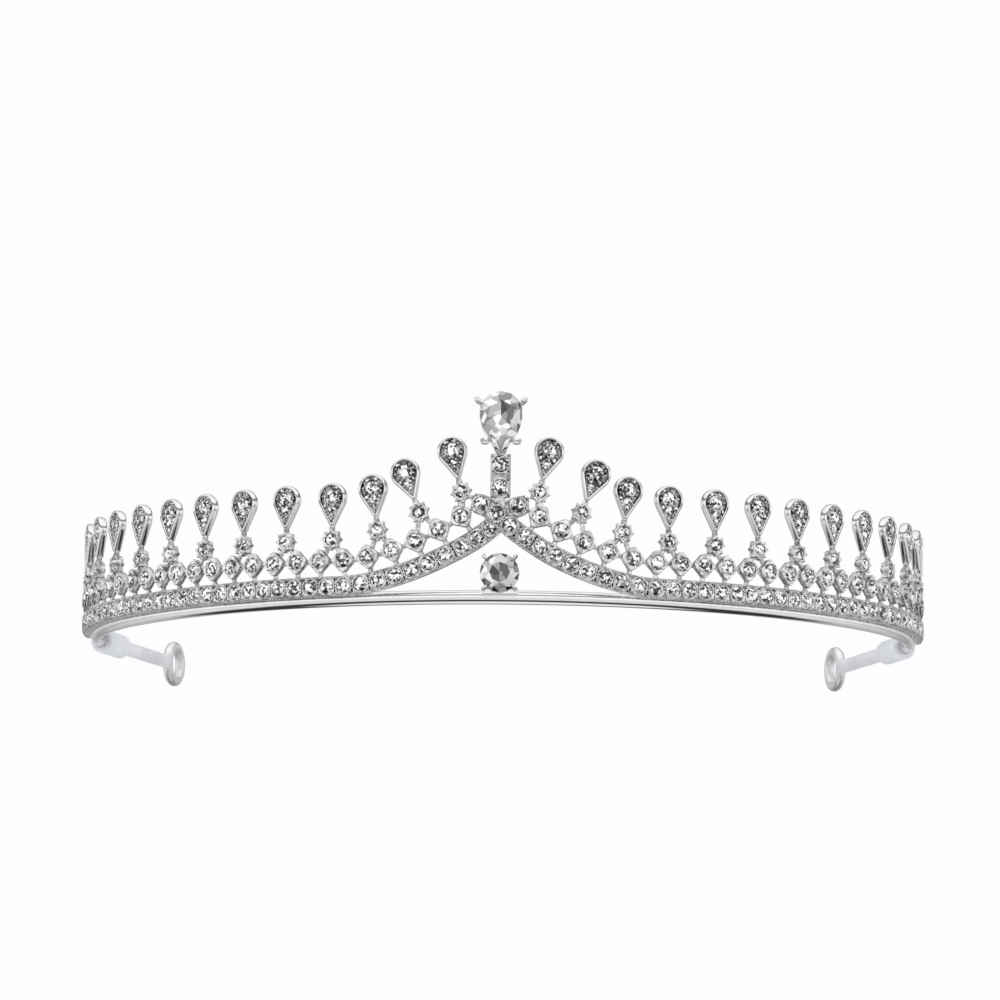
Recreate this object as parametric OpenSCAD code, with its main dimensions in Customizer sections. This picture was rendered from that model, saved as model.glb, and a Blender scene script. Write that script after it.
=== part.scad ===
// A rhinestone tiara on a round band wire, with a pear stone on a centre column.
// Front faces -Y, the wearer's head goes in along -Z, and X runs from ear to ear.

/* [Band wire] */
// Diameter of the round wire under the frame
wire_d = 2.3; // [1.8:0.1:2.6]
// Radius of the frame's back at the front, seen from above
front_r = 78; // [65:1:95]
// Half angle of the front curve
front_angle = 55; // [45:1:60]
// Radius of the frame's back at each side
side_r = 50; // [42:1:60]

/* [Arms] */
// Diameter of the wire in the arms and their eyelets
arm_wire_d = 1.9; // [1.4:0.05:2]
// Radius of the bend at each end of the band wire, where an arm turns inwards
arm_bend_r = 4; // [3:0.5:8]
// Angle through which an arm turns inwards
arm_turn = 14; // [8:1:20]
// Straight length of an arm up to its eyelet's centre
arm_len = 37; // [28:1:45]
// Outer diameter of an eyelet
eyelet_d = 8.4; // [7.4:0.1:10]
// Outer diameter of the silicone sleeve
sleeve_d = 2.5; // [2.4:0.1:3]
// Outer diameter of the thick shoulder at the sleeve's start
collar_d = 4.3; // [3.6:0.1:5]
// Length of the thick shoulder up to its rounded end
collar_len = 9; // [6:0.5:12]

/* [Rail] */
// Depth of the rail, back to front
rail_depth = 1.7; // [1.5:0.1:2]
// Thickness of the rail's two lips
rail_lip = 0.4; // [0.3:0.05:0.45]
// Height of the rail's middle above the middle of the wire
rail_z = 1.95; // [1.8:0.05:2.4]
// Distance from the middle of the front at which the rail starts to rise
rise_start = 26; // [24:0.5:30]
// Height above the wire at which the two rails cross
cross_z = 12.7; // [12:0.1:14]

/* [Stones] */
// Diameter of the rail's stones
rail_stone_d = 2.4; // [2:0.1:2.4]
// Distance between the rail's stones
rail_stone_pitch = 2.9; // [2.6:0.05:3.3]
// Diameter of the row stones
row_stone_d = 2.4; // [2:0.1:2.6]
// Diameter of the star stones
star_stone_d = 2; // [1.6:0.1:2.1]
// Diameter of the round centre stone
solitaire_d = 6.4; // [5.6:0.1:6.8]
// Height of the round centre stone's middle above the middle of the wire
solitaire_z = 3.6; // [3.4:0.1:4]
// Width of the pear stone
pear_w = 7; // [6:0.1:8]
// Height of the pear stone
pear_h = 10; // [9:0.1:11]

/* [Rows and drops] */
// Distance between the seats in the row
seat_pitch = 4.15; // [4:0.05:4.6]
// Distance from the rail's middle to the row's middle
row_gap = 4.2; // [4.1:0.05:4.8]
// Distance from the row to the star above it
star_gap = 3.5; // [3.4:0.05:4]
// Distance from a star's middle to the tip of its drop
drop_gap = 2.15; // [2:0.05:2.6]
// Height of a drop
drop_h = 7.2; // [6.4:0.1:8]
// Width of a drop
drop_w = 4.9; // [4.4:0.1:5.2]
// Depth of a drop
drop_depth = 1.5; // [1.4:0.1:2.4]
// Thickness of a drop's rim
drop_rim = 0.5; // [0.4:0.05:0.6]

/* [Centre column] */
// Height of the column above the crossing's notch
column_h = 7.9; // [7.4:0.1:9]

/* [Hidden] */
$fn = 48;
drops = 13;
sides = ["left", "right"];
drop_nodes = [for (side = sides) for (i = [1 : drops]) str(side, "_drop_", i)];
side_nodes = [for (side = sides) for (what = ["arm_wire", "sleeve", "sleeve_collar", "rail",
    "rail_stones", "row_seats", "row_stones", "star_seats", "star_stones", "drop_stones"])
    str(side, "_", what)];
middle_nodes = ["band_wire", "column", "column_stones", "pear_setting", "pear_stone",
    "solitaire_setting", "solitaire_stone"];

// Named clearances between pieces that are soldered, threaded or set
solder_gap = 0.02;
sleeve_gap = 0.02;
stone_gap = 0.05;
rail_stone_gap = 0.15;
layer_gap = 0.1;

// Depths of the frame's parts: the frame's back is soldered to the front of the wire
seat_depth = 1.5;
seat_floor = 0.6;
rail_floor = 0.5;
drop_floor = 0.5;
link_t = 0.5;

// Girdle of a stone, and its table as a share of its diameter
girdle_t = 0.35;
table_share = 0.6;

// Heights
wire_r = wire_d / 2;
eyelet_r = (eyelet_d - arm_wire_d) / 2;
wire_z = eyelet_d / 2;
half_h = rail_stone_d / 2 + stone_gap + rail_lip;

// A row seat is an eight-sided cup around its stone, a little taller than wide
row_stone_r = row_stone_d / 2;
seat_reach = [row_stone_r + 0.75, row_stone_r + 0.85];
function seat_shape(grow) = [for (k = [0 : 7]) let (c = round(cos(k * 45)), d = round(sin(k * 45)))
    c * d == 0 ? [c * (seat_reach[0] + grow), d * (seat_reach[1] + grow)]
        : [c * (row_stone_r + grow), d * (row_stone_r + grow)]];

// Seats and drops counted along the row: the first seat stands clear of the other rail's tip
seats = 2 * drops - 1;
tip_room = 2.2;
row_start = tip_room + seat_reach[0];

// Plan of the frame's back: a point at distance s from the middle of the front
front_len = front_r * front_angle * PI / 180;
side_c = [(front_r - side_r) * sin(front_angle), front_r - (front_r - side_r) * cos(front_angle)];
function heading(s) = s <= front_len ? s / front_r * 180 / PI
    : front_angle + (s - front_len) / side_r * 180 / PI;
function plan(s) = let (a = heading(s)) s <= front_len ? [front_r * sin(a), front_r * (1 - cos(a))]
    : side_c + side_r * [sin(a), -cos(a)];

// Rise of the rail: two curves that meet where the rails cross
rise_low = [[rise_start, rail_z], [rise_start - 9, rail_z], [5, cross_z - 5.4], [0, cross_z]];
rise_top = [[0, cross_z], [-1.3, cross_z + 1.4], [-2.8, cross_z + 2.3], [-4.7, cross_z + 2.3]];
rise_steps = 24;
tip_steps = 10;
function curve(p, t) = pow(1 - t, 3) * p[0] + 3 * pow(1 - t, 2) * t * p[1]
    + 3 * (1 - t) * t * t * p[2] + pow(t, 3) * p[3];
function slope(p, t) = let (d = pow(1 - t, 2) * (p[1] - p[0]) + 2 * (1 - t) * t * (p[2] - p[1])
    + t * t * (p[3] - p[2])) atan2(d[1], -d[0]);
// Each step of the rail's middle line is [s, z, slope], from the crossing outwards
rise_line = [for (i = [rise_steps : -1 : 0]) let (t = i / rise_steps)
    concat(curve(rise_low, t), slope(rise_low, t))];
tip_line = [for (i = [tip_steps : -1 : 1]) let (t = i / tip_steps)
    concat(curve(rise_top, t), slope(rise_top, t))];

// The same line moved out along its normal by d, then run on level to far_s
far_s = rise_start + seats * seat_pitch;
function shifted(d) = concat([for (p = rise_line) [p[0] + d * sin(p[2]), p[1] + d * cos(p[2]), p[2]]],
    [[far_s, rail_z + d, 0]]);
function gap_between(a, b) = norm([a[0] - b[0], a[1] - b[1]]);
function lengths(line, i = 0, sum = 0) = i >= len(line) ? []
    : let (now = sum + (i > 0 ? gap_between(line[i], line[i - 1]) : 0)) concat(now, lengths(line, i + 1, now));
function table(line, column) = let (u = lengths(line)) [for (i = [0 : len(line) - 1]) [u[i], line[i][column]]];
row_s = table(shifted(row_gap), 0);
row_z = table(shifted(row_gap), 1);
row_slope = table(shifted(row_gap), 2);
function on_row(u) = [lookup(u, row_s), lookup(u, row_z), lookup(u, row_slope)];
rail_line = concat(tip_line, shifted(0));
rail_s = table(rail_line, 0);
rail_up = table(rail_line, 1);
rail_slope = table(rail_line, 2);
function on_rail(u) = [lookup(u, rail_s), lookup(u, rail_up), lookup(u, rail_slope)];

// Seat j of the row, from 0 at the crossing
function seat_at(j) = on_row(row_start + seat_pitch * j);
frame_len = seat_at(seats - 1)[0] + 1.8;
end_heading = heading(frame_len);

// Star and drop i, from 1 at the crossing: the first stands on the first seat, the others between two
first_leans = [13, 20];
lean_share = 0.5;
rise_stretch = 0.025;
function foot_at(i) = i == 1 ? seat_at(0) : on_row(row_start + seat_pitch * (2 * i - 2.5));
function lean(i) = i <= len(first_leans) ? first_leans[i - 1] : lean_share * foot_at(i)[2];
function star_lean(i) = i == 1 ? 0 : lean(i);
function star_at(i) = let (f = foot_at(i), a = star_lean(i), up = star_gap
    + rise_stretch * (i == 1 ? 20 : f[2])) [f[0] + up * sin(a), f[1] + up * cos(a)];

// The rails pass each other at the crossing, the right one in front
cross_shift = (rail_depth + layer_gap) / 2;
shift_end = 9;
function smooth(t) = let (c = min(1, max(0, t))) c * c * (3 - 2 * c);
function cross_out(s) = cross_shift * (1 - smooth((s - 3) / (shift_end - 3)));

// The wire runs inside the frame's back, and an arm goes on from each of its ends
wire_in = wire_r + solder_gap;
end_point = plan(frame_len) + wire_in * [-sin(end_heading), cos(end_heading)];
arm_heading = end_heading + arm_turn;
bend_c = end_point + arm_bend_r * [-sin(end_heading), cos(end_heading)];
arm_start = bend_c + arm_bend_r * [sin(arm_heading), -cos(arm_heading)];
eyelet_c = arm_start + arm_len * [cos(arm_heading), sin(arm_heading)];

// Depths of the pear stone, counted outwards from the frame's back
pear_back = 1.4;
pear_body = 0.9;
pear_crown = 1.5;

// Whole depth, so that the origin stands under the middle of the part
pear_front = pear_back + pear_body + pear_crown;
back_y = eyelet_c[1] + eyelet_r * sin(arm_heading) + arm_wire_d / 2;
origin_y = (back_y - pear_front) / 2;

// Centre
column_z = cross_z + half_h / cos(slope(rise_low, 1)) + layer_gap;
column_top = column_z + column_h;
pear_z = column_top + layer_gap;

// Places what is inside at distance s along the band and height z above the wire's middle,
// with X along the band, Z up and -Y outwards
module place(s, z = 0) {
    at = plan(abs(s));
    translate([s < 0 ? -at[0] : at[0], at[1] - origin_y, wire_z + z])
        rotate([0, 0, sign(s) * heading(abs(s))])
            children();
}

// Turns a flat outline to face outwards, from depth y0 behind the face to thickness t in front of it
module face_out(y0, t) {
    translate([0, y0, 0])
        rotate([90, 0, 0])
            linear_extrude(height = t)
                children();
}

module side(name) {
    if (name == "left") mirror([1, 0, 0]) children();
    else children();
}

// A set stone: girdle and crown, facing outwards from depth y0
module stone(d, y0, t) {
    translate([0, y0, 0])
        rotate([90, 0, 0])
            rotate_extrude()
                polygon([[0, 0], [d / 2, 0], [d / 2, girdle_t], [d / 2 * table_share, t], [0, t]]);
}

// A straight piece along an arm, from its start
module along_arm() {
    translate([arm_start[0], arm_start[1] - origin_y, wire_z])
        rotate([0, 0, arm_heading])
            rotate([0, 90, 0])
                children();
}

// The band wire's middle line, as [x, y, heading], from the middle of the front to an arm's start
wire_step = 4;
bend_steps = 3;
wire_sides = 16;
half_wire = concat(
    [for (k = [0 : floor(frame_len / wire_step)]) let (h = heading(k * wire_step))
        concat(plan(k * wire_step) + wire_in * [-sin(h), cos(h)], h)],
    [for (k = [0 : bend_steps]) let (h = end_heading + arm_turn * k / bend_steps)
        concat(bend_c + arm_bend_r * [sin(h), -cos(h)], h)]);
whole_wire = concat([for (k = [len(half_wire) - 1 : -1 : 1]) let (p = half_wire[k]) [-p[0], p[1], -p[2]]], half_wire);

module band_wire() {
    last = len(whole_wire) - 1;
    n = wire_sides;
    color([0.82, 0.83, 0.85]) translate([0, -origin_y, wire_z])
        polyhedron(
            points = [for (p = whole_wire) for (k = [0 : n - 1]) let (o = wire_r * cos(k * 360 / n))
                [p[0] + o * sin(p[2]), p[1] - o * cos(p[2]), wire_r * sin(k * 360 / n)]],
            faces = concat([[for (k = [n - 1 : -1 : 0]) k]], [[for (k = [0 : n - 1]) last * n + k]],
                [for (i = [0 : last - 1]) for (k = [0 : n - 1]) let (m = (k + 1) % n)
                    [i * n + k, i * n + m, (i + 1) * n + m, (i + 1) * n + k]]));
}

module arm_wire(name) {
    color([0.82, 0.83, 0.85]) side(name) {
        along_arm() cylinder(d = arm_wire_d, h = arm_len - eyelet_r);
        translate([eyelet_c[0], eyelet_c[1] - origin_y, wire_z])
            rotate([0, 0, arm_heading])
                rotate([90, 0, 0])
                    rotate_extrude($fn = 96) translate([eyelet_r, 0]) circle(d = arm_wire_d);
    }
}

// Silicone tube on the arm wire, which stops short of the eyelet
module sleeve(name) {
    run = arm_len - eyelet_d / 2 - 0.3;
    color([0.87, 0.88, 0.91]) side(name) along_arm()
        difference() {
            cylinder(d = sleeve_d, h = run);
            translate([0, 0, -1]) cylinder(d = arm_wire_d + 2 * sleeve_gap, h = run + 2);
        }
}

// The shoulder over the sleeve's start, with a rounded far end
module sleeve_collar(name) {
    inner = sleeve_d / 2 + sleeve_gap;
    wall = collar_d / 2 - inner;
    color([0.86, 0.87, 0.9]) side(name) along_arm()
        rotate_extrude() polygon(concat([[inner, 0], [inner + wall, 0]],
            [for (a = [0 : 15 : 75]) [inner + wall * cos(a), collar_len + wall * sin(a)]],
            [[inner, collar_len + wall]]));
}

// Section of the rail as [distance outwards, distance along the rail's normal]: an open channel
function rail_section(size = 1) = let (h = half_h * size, lip = h - rail_lip * size)
    [[0, h], [rail_depth, h], [rail_depth, lip], [rail_floor, lip],
        [rail_floor, -lip], [rail_depth, -lip], [rail_depth, -h], [0, -h]];
section_caps = [[0, 1, 2, 3], [0, 3, 4, 7], [4, 5, 6, 7]];

// One side's rail, ring by ring from its tip past the crossing to the end of the frame
tip_rings = 5;
tip_size = 0.5;
rail_rings = concat([for (p = rail_line) if (p[0] <= rise_start) p],
    [for (k = [ceil((rise_start + 1) / wire_step) : floor(frame_len / wire_step)]) [k * wire_step, rail_z, 0]],
    [[frame_len, rail_z, 0]]);

module rail(name) {
    last = len(rail_rings) - 1;
    n = len(rail_section());
    front = name == "right" ? 1 : -1;
    rings = [for (i = [0 : last])
        let (p = rail_rings[i], at = plan(abs(p[0])), h = heading(abs(p[0])) * sign(p[0]),
            size = i < tip_rings ? tip_size + (1 - tip_size) * sqrt(1 - pow(1 - i / tip_rings, 2)) : 1,
            push = front * cross_out(abs(p[0])))
        [for (c = rail_section(size)) let (o = c[0] + push, along = c[1] * sin(p[2]))
            [at[0] * sign(p[0]) + along * cos(h) + o * sin(h), at[1] + along * sin(h) - o * cos(h),
                p[1] + c[1] * cos(p[2])]]];
    color([0.78, 0.79, 0.81]) side(name) translate([0, -origin_y, wire_z])
        polyhedron(
            points = [for (ring = rings) for (p = ring) p],
            faces = concat(section_caps,
                [for (cap = section_caps) [for (k = [len(cap) - 1 : -1 : 0]) last * n + cap[k]]],
                [for (i = [0 : last - 1]) for (k = [0 : n - 1]) let (m = (k + 1) % n)
                    [i * n + k, (i + 1) * n + k, (i + 1) * n + m, i * n + m]]));
}

module rail_stones(name) {
    ends = lengths(rail_line);
    run = lookup(frame_len, [for (i = [0 : len(rail_line) - 1]) [rail_line[i][0], ends[i]]]);
    count = floor((run - 2.4) / rail_stone_pitch);
    front = name == "right" ? 1 : -1;
    r = rail_stone_d / 2;
    color([0.93, 0.95, 0.98]) side(name)
        for (k = [0 : count]) {
            p = on_rail(1.7 + k * rail_stone_pitch);
            turn = atan2(front * (cross_out(abs(p[0] - r)) - cross_out(abs(p[0] + r))), 2 * r);
            place(p[0], p[1])
                translate([0, -front * cross_out(abs(p[0])), 0])
                    rotate([0, 0, turn])
                        stone(rail_stone_d, -rail_floor - rail_stone_gap, 1);
        }
}

// One seat of the row, with the link to its neighbour and the post down to the rail
module row_seat(j) {
    here = seat_at(j);
    place(here[0], here[1]) rotate([0, here[2], 0]) {
        difference() {
            face_out(0, seat_depth) polygon(seat_shape(0));
            translate([0, -seat_floor, 0])
                rotate([90, 0, 0])
                    cylinder(d = row_stone_d + 2 * stone_gap, h = seat_depth);
        }
        translate([-link_t / 2, -link_t, half_h - row_gap + solder_gap])
            cube([link_t, link_t, row_gap - half_h - row_stone_r]);
    }
}

module row_link(j) {
    a = seat_at(j);
    b = seat_at(j + 1);
    mid = [(a[0] + b[0]) / 2, (a[1] + b[1]) / 2];
    place(mid[0], mid[1])
        rotate([0, atan2(a[1] - b[1], b[0] - a[0]), 0])
            translate([-seat_pitch / 4, -link_t, -link_t / 2])
                cube([seat_pitch / 2, link_t, link_t]);
}

module row_seats(name) {
    color([0.8, 0.81, 0.83]) side(name) {
        for (j = [0 : seats - 1]) row_seat(j);
        for (j = [0 : seats - 2]) row_link(j);
    }
}

module row_stones(name) {
    color([0.93, 0.95, 0.98]) side(name)
        for (j = [0 : seats - 1])
            place(seat_at(j)[0], seat_at(j)[1]) stone(row_stone_d, -seat_floor - stone_gap / 2, 1.2);
}

star_points = 8;
star_out = star_stone_d / 2 + 0.85;
star_in = star_stone_d / 2 + 0.45;
star_outline = [for (k = [0 : 2 * star_points - 1]) let (a = k * 180 / star_points)
    (k % 2 == 0 ? star_out : star_in) * [cos(a), sin(a)]];

// A star's legs run towards the middles of its row seats and end a solder gap from their edges
module star_legs(i) {
    here = star_at(i);
    inside = star_stone_d / 2;
    leg_w = i == 1 ? 2 * link_t : link_t;
    feet = i == 1 ? [0] : [2 * i - 3, 2 * i - 2];
    difference() {
        place(here[0], here[1])
            for (j = feet) {
                to = [seat_at(j)[0] - here[0], seat_at(j)[1] - here[1]];
                rotate([0, atan2(to[0], to[1]), 0])
                    translate([-leg_w / 2, -link_t, inside])
                        cube([leg_w, link_t, norm(to) - inside]);
            }
        for (j = feet)
            place(seat_at(j)[0], seat_at(j)[1])
                rotate([0, seat_at(j)[2], 0])
                    face_out(seat_depth, 3 * seat_depth) polygon(seat_shape(solder_gap));
    }
}

// A star seat, with its legs and a stem up to its drop
module star_seat(i) {
    here = star_at(i);
    inside = star_stone_d / 2;
    star_legs(i);
    place(here[0], here[1]) {
        difference() {
            face_out(0, seat_depth) polygon(star_outline);
            translate([0, -seat_floor, 0])
                rotate([90, 0, 0])
                    cylinder(d = star_stone_d + 2 * stone_gap, h = seat_depth);
        }
        rotate([0, lean(i), 0])
            translate([-link_t, -seat_depth / 2 - link_t / 2, inside])
                cube([2 * link_t, link_t, drop_gap - inside - solder_gap]);
    }
}

module star_seats(name) {
    color([0.8, 0.81, 0.83]) side(name)
        for (i = [1 : drops]) star_seat(i);
}

module star_stones(name) {
    color([0.93, 0.95, 0.98]) side(name)
        for (i = [1 : drops])
            place(star_at(i)[0], star_at(i)[1]) stone(star_stone_d, -seat_floor - stone_gap / 2, 1.2);
}

// Outline of a drop, point down, made of a round head, straight sides and a round tip
tip_r = 0.45;
head_r = drop_w / 2;
head_up = drop_h - head_r;
flank = asin((head_r - tip_r) / (head_up - tip_r));
function drop_outline(cut) = let (
    r = head_r - cut,
    t = cut > 0 ? 0.12 : tip_r,
    low = tip_r + (cut > 0 ? (cut + t - tip_r) / sin(flank) : 0))
    concat([for (k = [0 : 18]) let (a = -flank + k * (180 + 2 * flank) / 18) [r * cos(a), head_up + r * sin(a)]],
        [for (k = [0 : 6]) let (a = 180 + flank + k * (180 - 2 * flank) / 6) [t * cos(a), low + t * sin(a)]]);

// Places what is inside with its origin at drop i's tip
module at_drop(i) {
    here = star_at(i);
    place(here[0], here[1]) rotate([0, lean(i), 0]) translate([0, 0, drop_gap]) children();
}

module drop(name, i) {
    color([0.84, 0.85, 0.87]) side(name) at_drop(i)
        difference() {
            face_out(0, drop_depth) polygon(drop_outline(0));
            face_out(-drop_floor, drop_depth) polygon(drop_outline(drop_rim));
        }
}

// Stones in a drop's recess: [diameter, sideways, distance below the drop's top], as shares of its head's radius
recess_r = head_r - drop_rim;
drop_set = recess_r * [[1.23, 0, 1.2], [0.72, 0, 2.2], [0.41, 0, 2.76]];

module drop_stones(name) {
    color([0.93, 0.95, 0.98]) side(name)
        for (i = [1 : drops]) at_drop(i)
            for (s = drop_set)
                translate([s[1], 0, drop_h - s[2]]) stone(s[0], -drop_floor - stone_gap / 2, 0.9);
}

module centre() {
    translate([0, -origin_y, wire_z]) children();
}

// The column is a post with two square cells, and its foot is cut to sit in the crossing's notch
notch_h = 1.1;
column_w = row_stone_d + 0.9;
cell_z = [0.7 + column_w / 2, column_h - column_w / 2];
module column() {
    w = column_w / 2;
    color([0.8, 0.81, 0.83]) centre() translate([0, 0, column_z])
        difference() {
            face_out(0, seat_depth) polygon([[0, 0], [w, notch_h], [w, column_h], [-w, column_h], [-w, notch_h]]);
            for (z = cell_z)
                translate([0, -seat_floor, z])
                    rotate([90, 0, 0])
                        cylinder(d = row_stone_d + 2 * stone_gap, h = seat_depth);
        }
}

module column_stones() {
    color([0.93, 0.95, 0.98]) centre()
        for (z = cell_z)
            translate([0, 0, column_z + z]) stone(row_stone_d, -seat_floor - stone_gap / 2, 1.2);
}

// Outline of a pear with its point down: a half circle on two long arcs
function pear_outline(w, h) = let (
    r = w / 2,
    low = h - r,
    big = (low * low + r * r) / (2 * r),
    turn = asin(low / big))
    concat([for (k = [0 : 16]) let (a = k * 180 / 16) [r * cos(a), low + r * sin(a)]],
        [for (k = [1 : 9]) let (a = k * turn / 9) [big - r - big * cos(a), low - big * sin(a)]],
        [for (k = [8 : -1 : 1]) let (a = k * turn / 9) [r - big + big * cos(a), low - big * sin(a)]]);

// Basket behind the pear, with four round claws and a pointed one over the stone's edge
basket_y = -0.1;
basket_t = 0.9;
pear_claws = [for (x = [-1, 1]) each [[x * (pear_w / 2 + 0.25), pear_h - 1.6], [x * (pear_w / 2 - 0.75), 1.5]]];
claw_d = 0.9;
module pear_setting() {
    reach = 3.2;
    color([0.84, 0.85, 0.87]) centre() translate([0, 0, pear_z]) {
        difference() {
            face_out(basket_y, basket_t) polygon(pear_outline(pear_w, pear_h));
            face_out(basket_y + 1, 3)
                translate([0, 2]) polygon(pear_outline(pear_w - 2.6, pear_h - 4.2));
        }
        for (c = pear_claws) {
            side_x = c[0] > 0 ? 1 : -1;
            translate([c[0], basket_y, c[1]])
                rotate([90, 0, 0]) cylinder(d = claw_d, h = reach, $fn = 24);
            translate([c[0] - side_x * 0.9, basket_y - 0.8, c[1] + 0.35 * (c[1] > 5 ? -1 : 1)])
                cube([1.6, 0.7, 0.6], center = true);
        }
    }
}

module pear_stone() {
    color([0.93, 0.95, 0.98]) centre() translate([0, 0, pear_z + 0.05]) {
        face_out(-pear_back, pear_body) polygon(pear_outline(pear_w, pear_h));
        face_out(-pear_back - pear_body, pear_crown)
            translate([0, 1.9]) polygon(pear_outline(pear_w * table_share, pear_h * table_share));
    }
}

// Square gallery in front of the wire, with corner claws over the round stone
gallery_w = solitaire_d - 0.3;
gallery_h = solitaire_d + 0.2;
gallery_depth = 1.1;
module solitaire_setting() {
    inset = claw_d / 2;
    color([0.84, 0.85, 0.87]) centre() translate([0, 0, solitaire_z]) {
        face_out(0, gallery_depth)
            difference() {
                square([gallery_w, gallery_h], center = true);
                circle(d = solitaire_d - 1.6);
            }
        for (x = [-1, 1]) for (z = [-1, 1])
            translate([x * (gallery_w / 2 - inset), -gallery_depth / 2, z * (gallery_h / 2 - inset)])
                rotate([90, 0, 0]) cylinder(d = claw_d, h = 2.6, $fn = 24);
    }
}

module solitaire_stone() {
    color([0.93, 0.95, 0.98]) centre()
        translate([0, 0, solitaire_z]) stone(solitaire_d, -gallery_depth - stone_gap, 2);
}

band_wire();
column();
column_stones();
pear_setting();
pear_stone();
solitaire_setting();
solitaire_stone();
for (name = sides) {
    arm_wire(name);
    sleeve(name);
    sleeve_collar(name);
    rail(name);
    rail_stones(name);
    row_seats(name);
    row_stones(name);
    star_seats(name);
    star_stones(name);
    drop_stones(name);
    for (i = [1 : drops])
        drop(name, i);
}
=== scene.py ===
from math import asin, atan2, ceil, cos, degrees, floor, hypot, pi, radians, sin, sqrt
import bmesh
import bpy
from mathutils import Matrix, Vector


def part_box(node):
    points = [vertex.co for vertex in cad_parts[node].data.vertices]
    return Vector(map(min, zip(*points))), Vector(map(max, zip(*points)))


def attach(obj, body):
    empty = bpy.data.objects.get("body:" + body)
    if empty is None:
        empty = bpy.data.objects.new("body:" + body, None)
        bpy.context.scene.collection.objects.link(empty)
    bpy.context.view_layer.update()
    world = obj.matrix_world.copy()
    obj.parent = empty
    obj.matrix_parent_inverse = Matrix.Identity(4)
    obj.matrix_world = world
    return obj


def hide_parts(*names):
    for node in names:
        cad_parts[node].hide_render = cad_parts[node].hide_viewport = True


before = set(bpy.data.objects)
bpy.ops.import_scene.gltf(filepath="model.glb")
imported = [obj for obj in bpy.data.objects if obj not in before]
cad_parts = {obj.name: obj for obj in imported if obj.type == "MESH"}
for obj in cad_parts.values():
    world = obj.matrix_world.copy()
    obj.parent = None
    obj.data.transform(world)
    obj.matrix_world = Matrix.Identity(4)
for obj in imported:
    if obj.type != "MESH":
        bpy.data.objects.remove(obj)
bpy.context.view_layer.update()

mm = 0.001

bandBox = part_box("band_wire")
solderGap = 0.02
frameBackY = bandBox[0][1] / mm - solderGap  # the frame's back is soldered to the front of the wire
wireMidZ = (bandBox[0][2] + bandBox[1][2]) / 2 / mm

bandPlan = {"frontRadius": 78, "frontAngle": 55, "sideRadius": 50, "wireRadius": 1.15, "wireIn": 1.17}
riseShape = {"start": 26, "railMid": 1.95, "crossing": 12.7, "steps": 40, "tipSteps": 14}
rowPlan = {"pitch": 4.15, "rowGap": 4.2, "starGap": 3.5, "dropGap": 2.15, "drops": 13,
           "leans": [13, 20], "leanShare": 0.5, "stretch": 0.025}
railPlan = {"halfHeight": 1.65, "depth": 1.7, "stonePitch": 2.9, "firstStone": 1.7, "passShift": 0.9,
            "passFrom": 3, "passTo": 9}
armPlan = {"wire": 1.9, "bend": 4, "turn": 14, "length": 37, "eyelet": 8.4}
seats = 2 * rowPlan["drops"] - 1
frontLength = bandPlan["frontRadius"] * radians(bandPlan["frontAngle"])


def headingAt(s):
    if s <= frontLength:
        return s / bandPlan["frontRadius"]
    return radians(bandPlan["frontAngle"]) + (s - frontLength) / bandPlan["sideRadius"]


def planAt(s, inwards=0):
    a, big, small = headingAt(s), bandPlan["frontRadius"], bandPlan["sideRadius"]
    if s <= frontLength:
        x, y = big * sin(a), big * (1 - cos(a))
    else:
        turn = radians(bandPlan["frontAngle"])
        x = (big - small) * sin(turn) + small * sin(a)
        y = big - (big - small) * cos(turn) - small * cos(a)
    return x - inwards * sin(a), y + inwards * cos(a)


def curvePoint(p, t):
    return [(1 - t) ** 3 * a + 3 * (1 - t) ** 2 * t * b + 3 * (1 - t) * t * t * c + t ** 3 * d for a, b, c,
            d in zip(*p)]


def curveSlope(p, t):
    d = [(1 - t) ** 2 * (b - a) + 2 * (1 - t) * t * (c - b) + t * t * (d - c) for a, b, c, d in zip(*p)]
    return atan2(d[1], -d[0])


crossing, railMid, riseStart = riseShape["crossing"], riseShape["railMid"], riseShape["start"]
riseLow = [(riseStart, railMid), (riseStart - 9, railMid), (5, crossing - 5.4), (0, crossing)]
riseTop = [(0, crossing), (-1.3, crossing + 1.4), (-2.8, crossing + 2.3), (-4.7, crossing + 2.3)]


def walk(p, steps, last):
    return [(*curvePoint(p, i / steps), curveSlope(p, i / steps)) for i in range(steps, last - 1, -1)]


riseLine = walk(riseLow, riseShape["steps"], 0)
tipLine = walk(riseTop, riseShape["tipSteps"], 1)
farS = riseStart + seats * rowPlan["pitch"]


def shifted(gap):  # the rise moved out along its normal, then run on level
    return [(s + gap * sin(a), z + gap * cos(a), a) for s, z, a in riseLine] + [(farS, railMid + gap, 0)]


def lengthsOf(line):
    out = [0]
    for a, b in zip(line, line[1:]):
        out.append(out[-1] + hypot(b[0] - a[0], b[1] - a[1]))
    return out


def alongLine(line, u):
    run = lengthsOf(line)
    for i in range(len(line) - 1):
        if u <= run[i + 1] or i == len(line) - 2:
            t = (u - run[i]) / (run[i + 1] - run[i])
            return tuple(a + t * (b - a) for a, b in zip(line[i], line[i + 1]))


rowLine = shifted(rowPlan["rowGap"])
railLine = tipLine + shifted(0)
rowSeats = [alongLine(rowLine, rowPlan["pitch"] * (j + 1)) for j in range(seats)]
frameEnd = rowSeats[-1][0] + 1.8


def dropLean(i, foot):
    return radians(rowPlan["leans"][i - 1]) if i <= len(rowPlan["leans"]) else rowPlan["leanShare"] * foot[2]


def starSpot(i):  # the star under drop i: its place and its drop's lean
    foot = rowSeats[0] if i == 1 else alongLine(rowLine, rowPlan["pitch"] * (2 * i - 1.5))
    lean = dropLean(i, foot)
    a = 0 if i == 1 else lean
    up = rowPlan["starGap"] + rowPlan["stretch"] * (20 if i == 1 else degrees(foot[2]))
    return foot[0] + up * sin(a), foot[1] + up * cos(a), lean


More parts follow.
